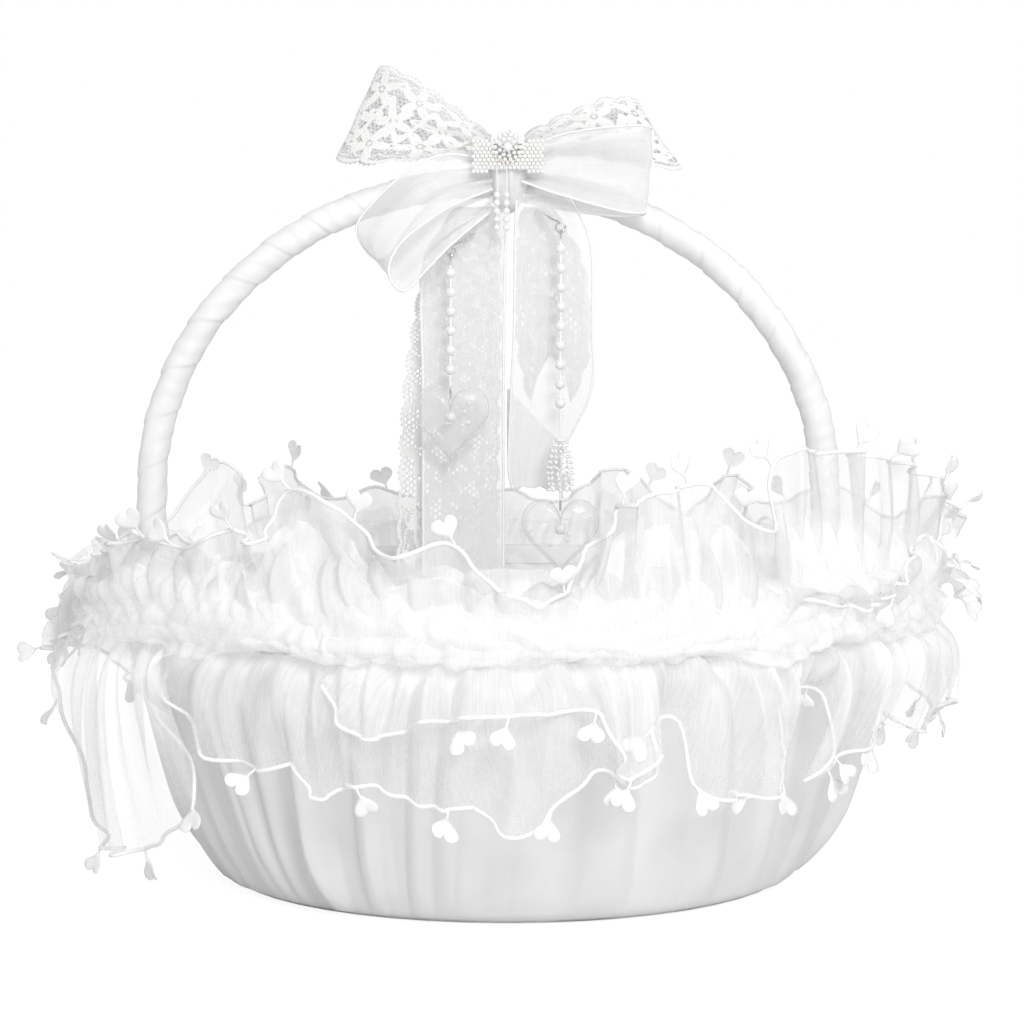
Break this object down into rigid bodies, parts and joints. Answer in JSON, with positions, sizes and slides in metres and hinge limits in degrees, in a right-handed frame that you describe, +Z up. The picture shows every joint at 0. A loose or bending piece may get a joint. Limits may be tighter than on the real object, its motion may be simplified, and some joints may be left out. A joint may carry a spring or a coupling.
{
  "type": "flower girl basket",
  "caption": "Round satin-covered flower girl basket with an organza ruffle, an arched wrapped handle, a lace and organza bow, and hanging bead strands with clear hearts.",
  "frame": {"origin": "centre of the underside, where the basket rests", "axes": "+Z up, -Y towards the front where the strands hang, +X to the right seen from the front"},
  "size_m": [0.3126, 0.3118, 0.2717],
  "materials": {
    "satin": "satin",
    "organza": "sheer",
    "lace": "matte",
    "wicker": "matte",
    "board": "matte",
    "foam": "matte",
    "thread": "matte",
    "petal_satin": "satin",
    "pearl": "pearl",
    "clear_acrylic": "polished",
    "silver_wire": "polished"
  },
  "bodies": {
    "root": {"base_cover": "satin", "base_board": "board", "bottom_hoop": "wicker", "floor_pad": "foam", "wicker_wall": "wicker", "rim_hoop": "wicker", "satin_cover": "satin", "satin_lining": "satin", "handle_core": "wicker", "handle_wrap": "satin", "handle_tie_left_lower": "thread", "handle_tie_left_upper": "thread", "handle_tie_right_lower": "thread", "handle_tie_right_upper": "thread", "gather_band": "organza", "ruffle_upper": "organza", "ruffle_lower": "organza", "edge_cord_upper": "satin", "edge_cord_lower": "satin", "petal_upper_1": "petal_satin", "petal_upper_2": "petal_satin", "petal_upper_3": "petal_satin", "petal_upper_4": "petal_satin", "petal_upper_5": "petal_satin", "petal_upper_6": "petal_satin", "petal_lower_1": "petal_satin", "petal_lower_2": "petal_satin", "petal_lower_3": "petal_satin", "petal_lower_4": "petal_satin", "bow_knot": "organza", "lace_loop_left": "lace", "lace_loop_right": "lace", "organza_loop_left": "organza", "organza_loop_right": "organza", "organza_tail_left": "organza", "organza_tail_right": "organza", "lace_tail_left": "lace", "lace_tail_right": "lace", "brooch_plate": "pearl", "brooch_centre": "pearl", "strand_hook_left": "silver_wire", "strand_hook_right": "silver_wire"},
    "link_left": {"strand_link_left": "silver_wire"},
    "strand_left": {"pearl_strand_left": "pearl"},
    "heart_left": {"heart_bail_left": "silver_wire", "heart_front_left": "clear_acrylic", "heart_back_left": "clear_acrylic", "heart_pearl_left": "pearl"},
    "link_right": {"strand_link_right": "silver_wire"},
    "strand_right": {"pearl_strand_right": "pearl", "bead_cap_right": "lace"},
    "heart_right": {"heart_bail_right": "silver_wire", "heart_front_right": "clear_acrylic", "heart_back_right": "clear_acrylic", "heart_pearl_right": "pearl"},
    "seeds_left": {"seed_strand_left": "pearl"},
    "seeds_right": {"seed_strand_right": "pearl"}
  },
  "joints": [
    {"name": "strand_left_sway", "type": "hinge", "parent": "root", "child": "link_left", "pos_m": [-0.019, -0.017, 0.207], "axis": [0, 1, 0], "range_deg": [-6, 20]},
    {"name": "strand_left_swing", "type": "hinge", "parent": "link_left", "child": "strand_left", "pos_m": [-0.019, -0.017, 0.2049], "axis": [1, 0, 0], "range_deg": [-60, 1]},
    {"name": "heart_left_twist", "type": "hinge", "parent": "strand_left", "child": "heart_left", "pos_m": [-0.019, -0.017, 0.1643], "axis": [0, 0, 1], "range_deg": [-20, 20]},
    {"name": "strand_right_sway", "type": "hinge", "parent": "root", "child": "link_right", "pos_m": [0.0175, -0.017, 0.215], "axis": [0, 1, 0], "range_deg": [-20, 6]},
    {"name": "strand_right_swing", "type": "hinge", "parent": "link_right", "child": "strand_right", "pos_m": [0.0175, -0.017, 0.2129], "axis": [1, 0, 0], "range_deg": [-60, 1]},
    {"name": "heart_right_twist", "type": "hinge", "parent": "strand_right", "child": "heart_right", "pos_m": [0.0175, -0.017, 0.1268], "axis": [0, 0, 1], "range_deg": [-20, 20]},
    {"name": "seeds_left_swing", "type": "hinge", "parent": "root", "child": "seeds_left", "pos_m": [-0.0036, -0.0173, 0.237], "axis": [1, 0, 0], "range_deg": [-50, 5]},
    {"name": "seeds_right_swing", "type": "hinge", "parent": "root", "child": "seeds_right", "pos_m": [-0.0004, -0.0173, 0.237], "axis": [1, 0, 0], "range_deg": [-50, 5]}
  ]
}
